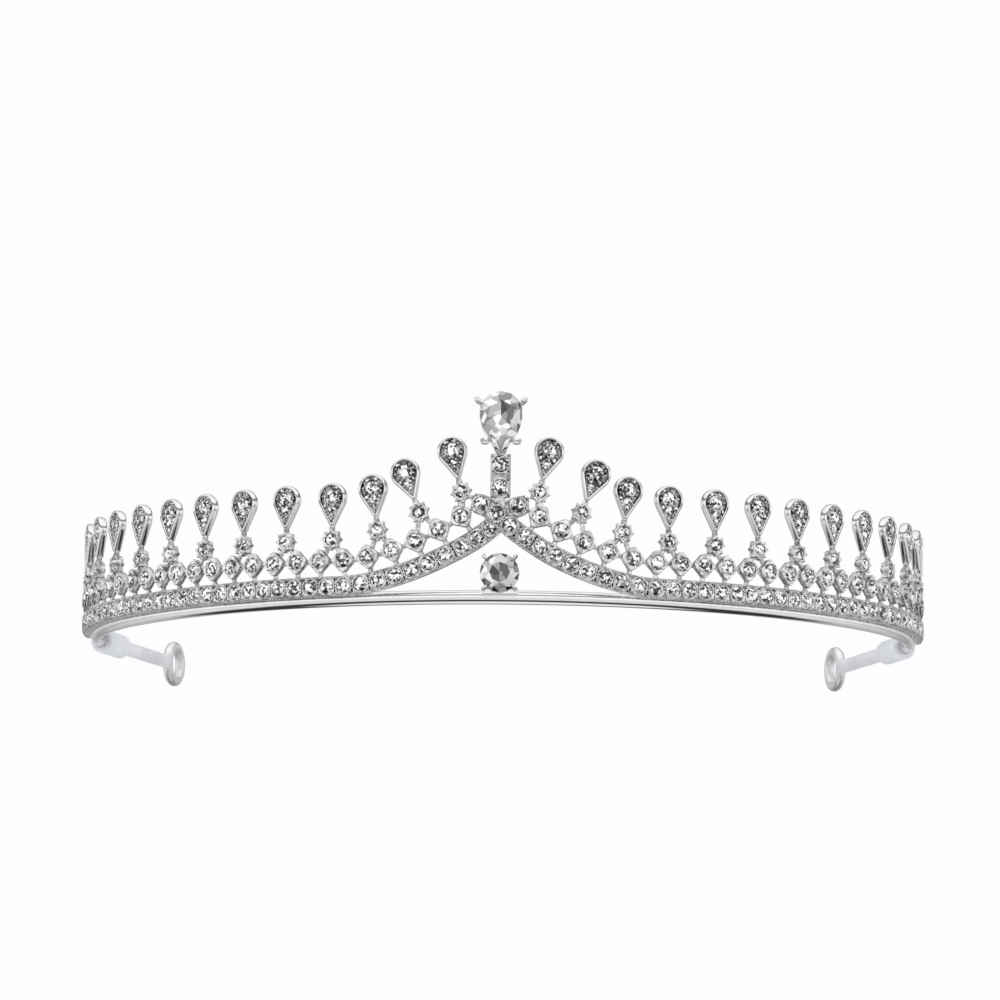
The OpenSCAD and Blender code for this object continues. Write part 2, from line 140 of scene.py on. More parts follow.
def passShift(s):
    t = min(1, max(0, (s - railPlan["passFrom"]) / (railPlan["passTo"] - railPlan["passFrom"])))
    return railPlan["passShift"] * (1 - t * t * (3 - 2 * t))


def spot(side, s, z, lean=0, out=0, turn=0):
    # X along the band, Z up, -Y outwards, at height z above the wire
    sign = -1 if s < 0 else 1
    x, y = planAt(abs(s))
    place = Matrix.Translation(Vector((side * sign * x, y + frameBackY, z + wireMidZ)) * mm)
    way = Matrix.Rotation(side * (sign * headingAt(abs(s)) + turn), 4, "Z") @ Matrix.Rotation(side * lean, 4,
                                                                                              "Y")
    return place @ way @ Matrix.Translation((0, -out * mm, 0))


sideSign = {"left": -1, "right": 1}


def newFinish(name):
    finish = bpy.data.materials.new(name)
    finish.use_nodes = True
    nodes, links = finish.node_tree.nodes, finish.node_tree.links
    return finish, nodes, links, nodes["Principled BSDF"]


def objectNoise(nodes, links, scale, detail=3, stretch=(1, 1, 1)):
    where, mapping, noise = (nodes.new(k) for k in ("ShaderNodeTexCoord", "ShaderNodeMapping",
                                                    "ShaderNodeTexNoise"))
    mapping.inputs["Scale"].default_value = stretch
    noise.inputs["Scale"].default_value = scale
    noise.inputs["Detail"].default_value = detail
    links.new(where.outputs["Object"], mapping.inputs["Vector"])
    links.new(mapping.outputs["Vector"], noise.inputs["Vector"])
    return noise


def spread(nodes, links, noise, low, high):
    ramp = nodes.new("ShaderNodeMapRange")
    ramp.inputs["From Min"].default_value, ramp.inputs["From Max"].default_value = 0.3, 0.7
    ramp.inputs["To Min"].default_value, ramp.inputs["To Max"].default_value = low, high
    links.new(noise.outputs["Fac"], ramp.inputs["Value"])
    return ramp.outputs["Result"]


def tones(nodes, links, noise, dark, light, low=0.35, high=0.65):
    ramp = nodes.new("ShaderNodeValToRGB")
    ramp.color_ramp.elements[0].color, ramp.color_ramp.elements[1].color = (*dark, 1), (*light, 1)
    ramp.color_ramp.elements[0].position, ramp.color_ramp.elements[1].position = low, high
    links.new(noise.outputs["Fac"], ramp.inputs["Fac"])
    return ramp.outputs["Color"]


def bumpFrom(nodes, links, noise, strength, distance):
    bump = nodes.new("ShaderNodeBump")
    bump.inputs["Strength"].default_value = strength
    bump.inputs["Distance"].default_value = distance
    links.new(noise.outputs["Fac"], bump.inputs["Height"])
    return bump.outputs["Normal"]


def platedFinish(name, dark, light, rough, grain, strength):
    finish, nodes, links, shader = newFinish(name)
    shader.inputs["Metallic"].default_value = 1
    cloud = objectNoise(nodes, links, grain * 0.4)
    fine = objectNoise(nodes, links, grain, 4)
    links.new(tones(nodes, links, cloud, dark, light), shader.inputs["Base Color"])
    links.new(spread(nodes, links, fine, *rough), shader.inputs["Roughness"])
    links.new(bumpFrom(nodes, links, fine, strength, 0.00004), shader.inputs["Normal"])
    return finish


polishedPlating = platedFinish("polishedPlating", (0.80, 0.80, 0.81), (0.90, 0.90, 0.91), (0.06, 0.16), 1500,
                               0.06)
castPlating = platedFinish("castPlating", (0.42, 0.42, 0.43), (0.88, 0.88, 0.88), (0.14, 0.32), 3000, 0.8)
satinPlating = platedFinish("satinPlating", (0.86, 0.86, 0.87), (0.94, 0.94, 0.95), (0.42, 0.55), 1600, 0.08)
drawnWire = platedFinish("drawnWire", (0.86, 0.86, 0.87), (0.92, 0.92, 0.93), (0.05, 0.12), 900, 0.04)


def stoneFinish(name, paintedGlintTones, metal, scale, coat):
    # painted glints and painted dark reflections: the silvered back is real, and the small bright and dark
    # facets it breaks up into are painted into the base colour, seen under clear glass
    finish, nodes, links, shader = newFinish(name)
    shader.inputs["Metallic"].default_value = metal
    shader.inputs["Coat Weight"].default_value = coat
    shader.inputs["Coat IOR"].default_value = 1.58
    shader.inputs["Coat Roughness"].default_value = 0.02
    where, facets, parts, ramp = (nodes.new(k) for k in ("ShaderNodeTexCoord", "ShaderNodeTexVoronoi",
                                                         "ShaderNodeSeparateColor", "ShaderNodeValToRGB"))
    facets.inputs["Scale"].default_value = scale
    ramp.color_ramp.interpolation = "CONSTANT"
    while len(ramp.color_ramp.elements) < len(paintedGlintTones):
        ramp.color_ramp.elements.new(0.5)
    for element, (place, tone) in zip(ramp.color_ramp.elements, paintedGlintTones):
        element.position, element.color = place, (tone, tone, tone, 1)
    links.new(where.outputs["Object"], facets.inputs["Vector"])
    links.new(facets.outputs["Color"], parts.inputs["Color"])
    links.new(parts.outputs["Red"], ramp.inputs["Fac"])
    links.new(ramp.outputs["Color"], shader.inputs["Base Color"])
    links.new(spread(nodes, links, objectNoise(nodes, links, 1400), 0.04, 0.14), shader.inputs["Roughness"])
    return finish


def siliconeFinish():
    finish, nodes, links, shader = newFinish("milkySilicone")
    shader.inputs["Subsurface Weight"].default_value = 0.35
    shader.inputs["Subsurface Radius"].default_value = (0.001, 0.001, 0.0012)
    shader.inputs["Subsurface Scale"].default_value = 0.6
    shader.inputs["IOR"].default_value = 1.41
    cloud = objectNoise(nodes, links, 260, 2, (1, 1, 0.4))
    fine = objectNoise(nodes, links, 1800, 3)
    links.new(tones(nodes, links, cloud, (0.64, 0.65, 0.70), (0.72, 0.73, 0.77)), shader.inputs["Base Color"])
    links.new(spread(nodes, links, fine, 0.3, 0.48), shader.inputs["Roughness"])
    links.new(bumpFrom(nodes, links, fine, 0.1, 0.00003), shader.inputs["Normal"])
    return finish


milkySilicone = siliconeFinish()
# each stone finish below carries painted glints and painted dark reflections in its bright and dark cell
# tones
cutCrystal = stoneFinish("cutCrystal", [(0, 0.01), (0.28, 0.22), (0.46, 0.62), (0.6, 0.97)], 0.55, 2700, 1)
silverFoil = stoneFinish("silverFoil", [(0, 0.5), (0.5, 0.72)], 0.8, 1200, 0)
clearFacet = stoneFinish("clearFacet", [(0, 0.2), (0.14, 0.42), (0.42, 0.62), (0.74, 0.9)], 0.5, 900, 1)
greyFacet = stoneFinish("greyFacet", [(0, 0.12), (0.35, 0.3), (0.7, 0.55)], 0.6, 800, 1)
darkFacet = stoneFinish("darkFacet", [(0, 0.02), (0.6, 0.08), (0.88, 0.4)], 0.6, 900, 1)
print("finishes ready")


def newPiece(name, verts, faces, finishes, soft=None):
    # verts in millimetres
    mesh = bpy.data.meshes.new(name)
    mesh.from_pydata([Vector(v) * mm for v in verts], [], faces)
    for finish in finishes:
        mesh.materials.append(finish)
    mesh.update()
    if soft is not None:
        mesh.shade_smooth()
        mesh.set_sharp_from_angle(angle=radians(soft))
    piece = bpy.data.objects.new(name, mesh)
    bpy.context.scene.collection.objects.link(piece)
    return piece


class Shape:  # verts and faces in millimetres, gathered before they become one mesh
    def __init__(self):
        self.verts, self.faces = [], []

    def add(self, verts, faces, place=None):
        start = len(self.verts)
        self.verts += [tuple(place @ Vector(v)) if place else tuple(v) for v in verts]
        self.faces += [tuple(start + k for k in face) for face in faces]

    def loft(self, loops, closed=False, caps=True, place=None):
        n = len(loops[0])
        verts = [v for loop in loops for v in loop]
        last = len(loops) - 1
        faces = [(i * n + k, i * n + (k + 1) % n, (i + 1) * n + (k + 1) % n, (i + 1) * n + k)
                 for i in range(last) for k in range(n)]
        if closed:
            faces += [(last * n + k, last * n + (k + 1) % n, (k + 1) % n, k) for k in range(n)]
        elif caps:
            faces += [tuple(range(n - 1, -1, -1)), tuple(last * n + k for k in range(n))]
        self.add(verts, faces, place)

    def tube(self, points, radii, sides=10, place=None):
        points = [Vector(p) for p in points]
        loops = []
        for i, p in enumerate(points):
            way = (points[min(i + 1, len(points) - 1)] - points[max(i - 1, 0)]).normalized()
            across = way.cross(Vector((0, 1, 0)) if abs(way.y) < 0.9 else Vector((1, 0, 0))).normalized()
            other = way.cross(across)
            r = radii[i] if isinstance(radii, (list, tuple)) else radii
            loops.append([p + r * (cos(2 * pi * k / sides) * across + sin(2 * pi * k / sides) * other)
                          for k in range(sides)])
        self.loft(loops, place=place)

    def ball(self, centre, r, rows=6, sides=8, place=None):
        c = Vector(centre)
        loops = [[c + r * Vector((sin(a) * cos(2 * pi * k / sides), cos(a), sin(a) * sin(2 * pi * k / sides)))
                  for k in range(sides)]
                 for a in [pi * (i + 0.35) / (rows - 0.3) for i in range(rows)]]
        self.loft(loops, place=place)

    def piece(self, name, finishes, soft=40):
        made = newPiece(name, self.verts, self.faces, finishes, soft)
        work = bmesh.new()
        work.from_mesh(made.data)
        bmesh.ops.recalc_face_normals(work, faces=work.faces)
        work.to_mesh(made.data)
        work.free()
        return made


def inMillimetres(place):
    loc, turn, size = place.decompose()
    return Matrix.Translation(loc / mm) @ turn.to_matrix().to_4x4()


def nodeIn(tree, kind, **values):
    node = tree.nodes.new(kind)
    for key, value in values.items():
        setattr(node, key, value)
    return node


def firstOut(node):
    return [o for o in node.outputs if o.enabled][0]


def attributeIn(tree, name, kind):
    node = nodeIn(tree, "GeometryNodeInputNamedAttribute", data_type=kind)
    node.inputs["Name"].default_value = name
    return firstOut(node)


def treeWith(name, inputs):
    tree = bpy.data.node_groups.new(name, "GeometryNodeTree")
    for label, kind in [("Geometry", "Geometry")] + inputs:
        tree.interface.new_socket(label, in_out="INPUT", socket_type="NodeSocket" + kind)
    tree.interface.new_socket("Geometry", in_out="OUTPUT", socket_type="NodeSocketGeometry")
    return tree, nodeIn(tree, "NodeGroupInput"), nodeIn(tree, "NodeGroupOutput")


def plantingTree():  # one piece planted on every point, turned and sized by the point's own values
    tree, given, result = treeWith("plantPieces",
                                   [("Piece", "Object"), ("Finish", "Material"), ("Backing", "Material")])
    link = tree.links.new
    info = nodeIn(tree, "GeometryNodeObjectInfo", transform_space="ORIGINAL")
    turn = nodeIn(tree, "FunctionNodeEulerToRotation")
    plant = nodeIn(tree, "GeometryNodeInstanceOnPoints")
    real = nodeIn(tree, "GeometryNodeRealizeInstances")
    front, back = nodeIn(tree, "GeometryNodeSetMaterial"), nodeIn(tree, "GeometryNodeSetMaterial")
    link(given.outputs["Piece"], info.inputs["Object"])
    link(attributeIn(tree, "turn", "FLOAT_VECTOR"), turn.inputs[0])
    link(given.outputs["Geometry"], plant.inputs["Points"])
    link(info.outputs["Geometry"], plant.inputs["Instance"])
    link(turn.outputs[0], plant.inputs["Rotation"])
    link(attributeIn(tree, "size", "FLOAT"), plant.inputs["Scale"])
    link(plant.outputs["Instances"], real.inputs[0])
    link(real.outputs[0], front.inputs["Geometry"])
    link(given.outputs["Finish"], front.inputs["Material"])
    link(front.outputs["Geometry"], back.inputs["Geometry"])
    link(attributeIn(tree, "backing", "BOOLEAN"), back.inputs["Selection"])
    link(given.outputs["Backing"], back.inputs["Material"])
    link(back.outputs["Geometry"], result.inputs["Geometry"])
    return tree


def sweepTree():  # a round wire along a line of points
    tree, given, result = treeWith("sweepWire",
                                   [("Radius", "Float"), ("Sides", "Int"), ("Finish", "Material")])
    link = tree.links.new
    path, ring, sweep = (nodeIn(tree, k) for k in ("GeometryNodeMeshToCurve",
                                                   "GeometryNodeCurvePrimitiveCircle",
                                                   "GeometryNodeCurveToMesh"))
    real, soft, coat = (nodeIn(tree, k) for k in ("GeometryNodeRealizeInstances",
                                                  "GeometryNodeSetShadeSmooth", "GeometryNodeSetMaterial"))
    sweep.inputs["Fill Caps"].default_value = True
    link(given.outputs["Geometry"], path.inputs["Mesh"])
    link(given.outputs["Radius"], ring.inputs["Radius"])
    link(given.outputs["Sides"], ring.inputs["Resolution"])
    link(path.outputs["Curve"], sweep.inputs["Curve"])
    link(ring.outputs["Curve"], sweep.inputs["Profile Curve"])
    link(sweep.outputs["Mesh"], real.inputs[0])
    link(real.outputs[0], soft.inputs[0])
    link(soft.outputs[0], coat.inputs["Geometry"])
    link(given.outputs["Finish"], coat.inputs["Material"])
    link(coat.outputs["Geometry"], result.inputs["Geometry"])
    return tree


plantPieces, sweepWire = plantingTree(), sweepTree()


def runTree(piece, tree, values):
    live = piece.modifiers.new(tree.name, "NODES")
    live.node_group = tree
    for item in tree.interface.items_tree:
        if item.in_out == "INPUT" and item.name in values:
            live[item.identifier] = values[item.name]
    bpy.context.view_layer.update()
    done = bpy.data.meshes.new_from_object(piece.evaluated_get(bpy.context.evaluated_depsgraph_get()))
    piece.modifiers.clear()
    piece.data = done
    for name in ("turn", "size", "backing"):
        if name in done.attributes:
            done.attributes.remove(done.attributes[name])
    return piece


def plant(name, sample, spots, finish, backing=None, sizes=None):
    mesh = bpy.data.meshes.new(name)
    mesh.from_pydata([s.translation for s in spots], [], [])
    turns = mesh.attributes.new("turn", "FLOAT_VECTOR", "POINT")
    turns.data.foreach_set("vector", [v for s in spots for v in s.to_euler()])
    scale = mesh.attributes.new("size", "FLOAT", "POINT")
    scale.data.foreach_set("value", sizes or [1] * len(spots))
    piece = bpy.data.objects.new(name, mesh)
    bpy.context.scene.collection.objects.link(piece)
    runTree(piece, plantPieces, {"Piece": sample, "Finish": finish, "Backing": backing or finish})
    return piece


def wirePiece(name, points, radius, finish, sides=28, closed=False):
    mesh = bpy.data.meshes.new(name)
    n = len(points)
    edges = [(i, (i + 1) % n) for i in range(n if closed else n - 1)]
    mesh.from_pydata([Vector(p) * mm for p in points], edges, [])
    piece = bpy.data.objects.new(name, mesh)
    bpy.context.scene.collection.objects.link(piece)
    return runTree(piece, sweepWire, {"Radius": radius * mm, "Sides": sides, "Finish": finish})


def joined(name, pieces):
    work = bmesh.new()
    finishes = []
    for piece in pieces:
        part = piece.data
        index = []
        for m in part.materials:
            if m not in finishes:
                finishes.append(m)
            index.append(finishes.index(m))
        start = len(work.faces)
        work.from_mesh(part)
        work.faces.ensure_lookup_table()
        for face in work.faces[start:]:
            face.material_index = index[face.material_index] if index else 0
    whole = bpy.data.meshes.new(name)
    work.to_mesh(whole)
    work.free()
    for m in finishes:
        whole.materials.append(m)
    for piece in pieces:
        bpy.data.objects.remove(piece)
    made = bpy.data.objects.new(name, whole)
    bpy.context.scene.collection.objects.link(made)
    return made


def keep(piece, slot, *nodes):
    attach(piece, "root")
    if nodes:
        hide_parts(*nodes)
    return piece


samples = []


def sample(piece):  # a master that is planted and then thrown away
    samples.append(piece)
    return piece


roundCut = {"table": 0.56, "star": 0.79, "crown": 0.16, "starRise": 0.6, "girdle": 0.03, "pavilion": 0.43}


def cutStone(name, outline, centre, wide, cut, girdleY, facets=(cutCrystal,), tableReflectionTones=(0,) * 8,
             rimReflectionTones=(0,) * 16):
    # outline(angle) is the girdle's radius round the centre; the table faces -Y
    def ring(count, offset, share, y):
        points = []
        for k in range(count):
            a = 2 * pi * (k + offset) / count
            r = outline(a) * share
            points.append((centre[0] + r * cos(a), girdleY - y, centre[1] + r * sin(a)))
        return points
    crown = cut["crown"] * wide
    verts = ring(8, 0, cut["table"], crown) + ring(8, 0.5, cut["star"], crown * cut["starRise"])
    verts += ring(16, 0, 1, 0) + ring(16, 0, 1, -cut["girdle"] * wide)
    verts += ring(8, 0.5, 0.5, -cut["pavilion"] * wide * 0.56)
    verts.append((centre[0], girdleY + cut["pavilion"] * wide, centre[1]))
    verts.append((centre[0], girdleY - crown - 0.01 * wide, centre[1]))
    table, star, rim = range(8), range(8, 16), range(16, 32)
    low, mains, tip, middle = range(32, 48), range(48, 56), 56, 57
    faces = [(table[k], table[(k + 1) % 8], middle) for k in range(8)]
    # painted reflections: the table and rim tones give chosen facets the grey and dark facet finishes
    toneOf = list(tableReflectionTones)
    for k in range(8):
        after, before = (k + 1) % 8, (k - 1) % 8
        faces.append((table[k], star[k], table[after]))
        faces.append((table[k], star[before], rim[2 * k], star[k]))
        faces.append((star[k], rim[2 * k], rim[2 * k + 1]))
        faces.append((star[k], rim[2 * k + 1], rim[(2 * k + 2) % 16]))
        toneOf += [0, 0, rimReflectionTones[2 * k], rimReflectionTones[2 * k + 1]]
    faces += [(rim[j], low[j], low[(j + 1) % 16], rim[(j + 1) % 16]) for j in range(16)]
    front = len(faces)
    for k in range(8):
        before = (k - 1) % 8
        faces.append((low[2 * k], low[2 * k + 1], mains[k]))
        faces.append((low[2 * k + 1], low[(2 * k + 2) % 16], mains[k]))
        faces.append((low[2 * k], mains[k], tip, mains[before]))
    stone = newPiece(name, verts, faces, [silverFoil, *facets])
    work = bmesh.new()
    work.from_mesh(stone.data)
    work.faces.ensure_lookup_table()
    for face in work.faces:
        tone = toneOf[face.index] if face.index < len(toneOf) else 0
        face.material_index = 0 if face.index >= front else 1 + tone
    bmesh.ops.recalc_face_normals(work, faces=work.faces)
    work.to_mesh(stone.data)
    work.free()
    backing = stone.data.attributes.new("backing", "BOOLEAN", "FACE")
    backing.data.foreach_set("value", [p.material_index == 0 for p in stone.data.polygons])
    return stone


def roundStone(name, d, girdleY):
    return cutStone(name, lambda a: d / 2, (0, 0), d, roundCut, girdleY)


cupSizes = {"rowInner": 1.21, "rowOuter": 1.92, "rowTall": 2.02, "rowRound": 1.56, "rowDepth": 1.42,
            "floor": 0.2, "prong": 0.27}
starSizes = {"inner": 1.0, "tooth": 1.84, "notch": 1.42, "depth": 1.42, "prong": 0.25}


def cup(name, outer, inner, depth, floorY, prongAngles, prongR, prongSize):
    # a closed cup: outer(angle) is its outline, and round prongs hold the stone's edge
    count = 32
    shape = Shape()

    def loop(r, y):
        return [((r(a) if callable(r) else r) * cos(a), -y, (r(a) if callable(r) else r) * sin(a))
                for a in [2 * pi * k / count for k in range(count)]]
    lean = lambda a: outer(a) * 0.86
    lip = lambda a: outer(a) - 0.09
    shape.loft([loop(lean, 0), loop(outer, 0.45), loop(outer, depth - 0.2), loop(lip, depth),
                loop(inner + 0.05, depth), loop(inner, depth - 0.12), loop(inner, floorY + 0.2),
                loop(inner * 0.7, floorY)])
    for a in prongAngles:
        c, s = cos(a), sin(a)
        shape.tube([(prongR * 1.12 * c, -depth * 0.5, prongR * 1.12 * s),
                    (prongR * 1.1 * c, -depth + 0.05, prongR * 1.1 * s),
                    (prongR * c, -depth - 0.1, prongR * s)], [prongSize * 0.9, prongSize, prongSize * 0.8], 6)
    return shape.piece(name, [castPlating], 35)


def seatOutline(a):
    wide, tall, plain = cupSizes["rowOuter"], cupSizes["rowTall"], cupSizes["rowRound"]
    return plain + (wide - plain) * cos(a) ** 10 + (tall - plain) * sin(a) ** 10


def starOutline(a):
    t = 0.5 + 0.5 * cos(8 * a)
    return starSizes["notch"] + (starSizes["tooth"] - starSizes["notch"]) * t ** 2.2


diagonals = [pi / 4 + k * pi / 2 for k in range(4)]
rowCup = sample(cup("rowCup", seatOutline, cupSizes["rowInner"], cupSizes["rowDepth"], cupSizes["floor"],
                    diagonals, 1.2, cupSizes["prong"]))
starCup = sample(cup("starCup", starOutline, starSizes["inner"], starSizes["depth"], cupSizes["floor"],
                     [k * pi / 4 for k in range(8)], 1.08, starSizes["prong"]))
tileHalf = {"wide": 1.43, "tall": 1.42}


def tileOutline(a):  # a square tile round a stone, so that the stones sit in one plate
    return min(tileHalf["wide"] / max(1e-6, abs(cos(a))), tileHalf["tall"] / max(1e-6, abs(sin(a))))


railTile = sample(cup("railTile", tileOutline, 1.2, 1.2, 0.2, diagonals, 1.5, 0.3))
bead = Shape()
bead.ball((0, 0, 0), 1, 4, 7)
bead = sample(bead.piece("bead", [castPlating], 80))
roundSizes = {"row": (2.4, -1.3), "star": (1.98, -1.25),
              "rail": (2.38, -1.24)}  # across, and the girdle's place
rowStone = sample(roundStone("rowStone", *roundSizes["row"]))
starStone = sample(roundStone("starStone", *roundSizes["star"]))
railStone = sample(roundStone("railStone", *roundSizes["rail"]))
print("masters ready")

bandSteps = 150


def armStart():
    a = headingAt(frameEnd)
    x, y = planAt(frameEnd, bandPlan["wireIn"])
    c = (x - armPlan["bend"] * sin(a), y + armPlan["bend"] * cos(a))
    b = a + radians(armPlan["turn"])
    return c, a, b, (c[0] + armPlan["bend"] * sin(b), c[1] - armPlan["bend"] * cos(b))


bendCentre, endHeading, armHeading, armFrom = armStart()


def bandLine():
    half = [planAt(frameEnd * k / bandSteps, bandPlan["wireIn"]) for k in range(bandSteps + 1)]
    half += [(bendCentre[0] + armPlan["bend"] * sin(h), bendCentre[1] - armPlan["bend"] * cos(h))
             for h in [endHeading + (armHeading - endHeading) * k / 6 for k in range(1, 7)]]
    return [(-x, y) for x, y in half[:0:-1]] + half


bandWire = wirePiece("bandWire", [(x, y + frameBackY, wireMidZ) for x, y in bandLine()],
                     bandPlan["wireRadius"], drawnWire, 36)
keep(bandWire, "plating", "band_wire")

sleeveSizes = {"outer": 1.25, "hole": 0.97, "collar": 2.15, "collarLength": 9, "stop": 4.5}


def armPlace(side):  # X runs along the arm from its start
    start = Vector((side * armFrom[0], armFrom[1] + frameBackY, wireMidZ))
    heading = armHeading if side > 0 else pi - armHeading
    return Matrix.Translation(start) @ Matrix.Rotation(heading, 4, "Z")


def lathe(profile, sides=36):
    return [[(x, r * cos(2 * pi * k / sides), r * sin(2 * pi * k / sides)) for k in range(sides)] for x,
            r in profile]


for sideName, side in sideSign.items():
    place = armPlace(side)
    ringR = (armPlan["eyelet"] - armPlan["wire"]) / 2
    reach = armPlan["length"]
    line = [(x, 0, 0) for x in (0, 8, 16, 24, reach - ringR - 2)]
    turnSteps = 56
    line += [(reach - ringR * cos(t), 0, ringR * sin(t))
             for t in [radians(352) * k / turnSteps for k in range(turnSteps + 1)]]
    armWire = wirePiece(sideName + "ArmWire", [place @ Vector(p) for p in line], armPlan["wire"] / 2,
                        satinPlating, 24)
    keep(armWire, "plating", sideName + "_arm_wire")

    run = reach - sleeveSizes["stop"]
    outer, hole = sleeveSizes["outer"], sleeveSizes["hole"]
    sleeve = Shape()
    sleeve.loft(lathe([(0, hole), (0, outer), (run - 0.25, outer), (run - 0.08, outer - 0.08),
                       (run, outer - 0.25), (run, hole)]),
                closed=True, place=place)
    keep(sleeve.piece(sideName + "Sleeve", [milkySilicone], 50), "silicone", sideName + "_sleeve")

    collar = Shape()
    big, inner, long = sleeveSizes["collar"], outer + 0.02, sleeveSizes["collarLength"]
    wall = big - inner
    arc = [(long + wall * sin(t), inner + wall * cos(t)) for t in [radians(8 * k) for k in range(12)]]
    collar.loft(lathe([(0, inner), (0, big - 0.35), (0.1, big - 0.12), (0.4, big)] + arc), closed=True,
                place=place)
    keep(collar.piece(sideName + "Collar", [milkySilicone], 50), "silicone", sideName + "_sleeve_collar")
print("band and arms ready")

railShape = {"step": 0.75, "floor": 0.15, "lip": 0.26, "bead": 0.24, "beadPitch": 0.58, "gapBead": 0.24,
             "tipLength": 1.5,
             "deep": 1.3, "tileBack": 0.12, "beadOut": 1.2, "endRoom": 2.4}
railEnd = None
runs = lengthsOf(railLine)
for i in range(len(railLine) - 1):
    if railLine[i][0] <= frameEnd <= railLine[i + 1][0]:
        t = (frameEnd - railLine[i][0]) / (railLine[i + 1][0] - railLine[i][0])
        railEnd = runs[i] + t * (runs[i + 1] - runs[i])


def railPoint(side, p, out, along):
    s, sign = abs(p[0]), -1 if p[0] < 0 else 1
    h = headingAt(s) * sign
    x, y = planAt(s)
    out += side * passShift(s)
    slid = along * sin(p[2])
    return Vector((side * (x * sign + slid * cos(h) + out * sin(h)),
                   y + slid * sin(h) - out * cos(h) + frameBackY,
                   p[1] + along * cos(p[2]) + wireMidZ))


def railWidth(u):  # the leaf tip narrows to a round end
    t = min(1, u / railShape["tipLength"])
    return railPlan["halfHeight"] * (0.5 + 0.5 * sqrt(1 - (1 - t) ** 2))


def railSpot(side, u, out=0, along=0):
    p = alongLine(railLine, u)
    turn = atan2(side * (passShift(abs(p[0] - 1.2)) - passShift(abs(p[0] + 1.2))), 2.4)
    place = spot(side, p[0], p[1], p[2], 0, turn)
    place.translation = railPoint(side, p, out, along) * mm
    return place


def railBody(name, side):
    count = ceil(railEnd / railShape["step"])
    floorY, lip, deep = railShape["floor"], railShape["lip"], railShape["deep"]
    loops = []
    for i in range(count + 1):
        u = railEnd * i / count
        h = railWidth(u)
        inner = h - lip
        section = [(0.05, h - 0.1), (0.25, h), (deep - 0.3, h), (deep - 0.12, h - 0.06),
                   (deep - 0.12, inner + 0.05), (deep - 0.3, inner),
                   (floorY, inner), (floorY, -inner), (deep - 0.3, -inner), (deep - 0.12, -inner - 0.05),
                   (deep - 0.12, -h + 0.06), (deep - 0.3, -h), (0.25, -h), (0.05, -h + 0.1)]
        p = alongLine(railLine, u)
        loops.append([railPoint(side, p, o, c) for o, c in section])
    shape = Shape()
    shape.loft(loops)
    return shape.piece(name, [castPlating], 40)


for sideName, side in sideSign.items():
    stoneRuns = [railPlan["firstStone"] + k * railPlan["stonePitch"]
                 for k in range(floor((railEnd - railShape["endRoom"]) / railPlan["stonePitch"]) + 1)]
    stoneSpots = [railSpot(side, u) for u in stoneRuns]
    keep(plant(sideName + "RailStones", railStone, stoneSpots, cutCrystal, silverFoil), "crystal",
         sideName + "_rail_stones")
    tileSpots = [railSpot(side, u, railShape["tileBack"]) for u in stoneRuns]
    collars = plant(sideName + "RailTiles", railTile, tileSpots, castPlating)
    beadSpots, beadSizes = [], []
    edgeCount = floor(railEnd / railShape["beadPitch"])
    for k in range(edgeCount + 1):
        u = 0.25 + (railEnd - 0.5) * k / edgeCount
        for edge in (1, -1):
            h = railWidth(u) - railShape["bead"] - 0.02
            beadSpots.append(railSpot(side, u, railShape["beadOut"], edge * h))
            beadSizes.append(railShape["bead"])
    for u in stoneRuns[:-1]:
        for edge in (1, 0, -1):
            beadSpots.append(railSpot(side, u + railPlan["stonePitch"] / 2, railShape["beadOut"], edge * 0.5))
            beadSizes.append(railShape["gapBead"])
    beads = plant(sideName + "RailBeads", bead, beadSpots, castPlating, sizes=beadSizes)
    rail = joined(sideName + "Rail", [railBody(sideName + "RailBody", side), collars, beads])
    keep(rail, "plating", sideName + "_rail")
print("rails ready")

linkSizes = {"link": 0.36, "post": 0.36, "leg": 0.4, "stem": 0.55, "across": 1.3, "y": -0.35}
for sideName, side in sideSign.items():
    rowSpots = [spot(side, s, z, a) for s, z, a in rowSeats]
    keep(plant(sideName + "RowStones", rowStone, rowSpots, cutCrystal, silverFoil), "crystal",
         sideName + "_row_stones")
    cups = plant(sideName + "RowCups", rowCup, rowSpots, castPlating)
    links = Shape()
    middles = [inMillimetres(place) for place in rowSpots]
    for a, b in zip(middles, middles[1:]):
        start, end = a @ Vector((side * linkSizes["across"], linkSizes["y"],
                                 0)), b @ Vector((-side * linkSizes["across"], linkSizes["y"], 0))
        links.tube([start, end], linkSizes["link"], 8)
    for place in middles:
        links.tube([place @ Vector((0, linkSizes["y"], -1.5)),
                    place @ Vector((0, linkSizes["y"], -rowPlan["rowGap"] + railPlan["halfHeight"] - 0.05))],
                   [linkSizes["post"], linkSizes["post"] * 1.25], 8)
    row = joined(sideName + "Row", [cups, links.piece(sideName + "RowLinks", [castPlating])])
    keep(row, "plating", sideName + "_row_seats")
print("rows ready")

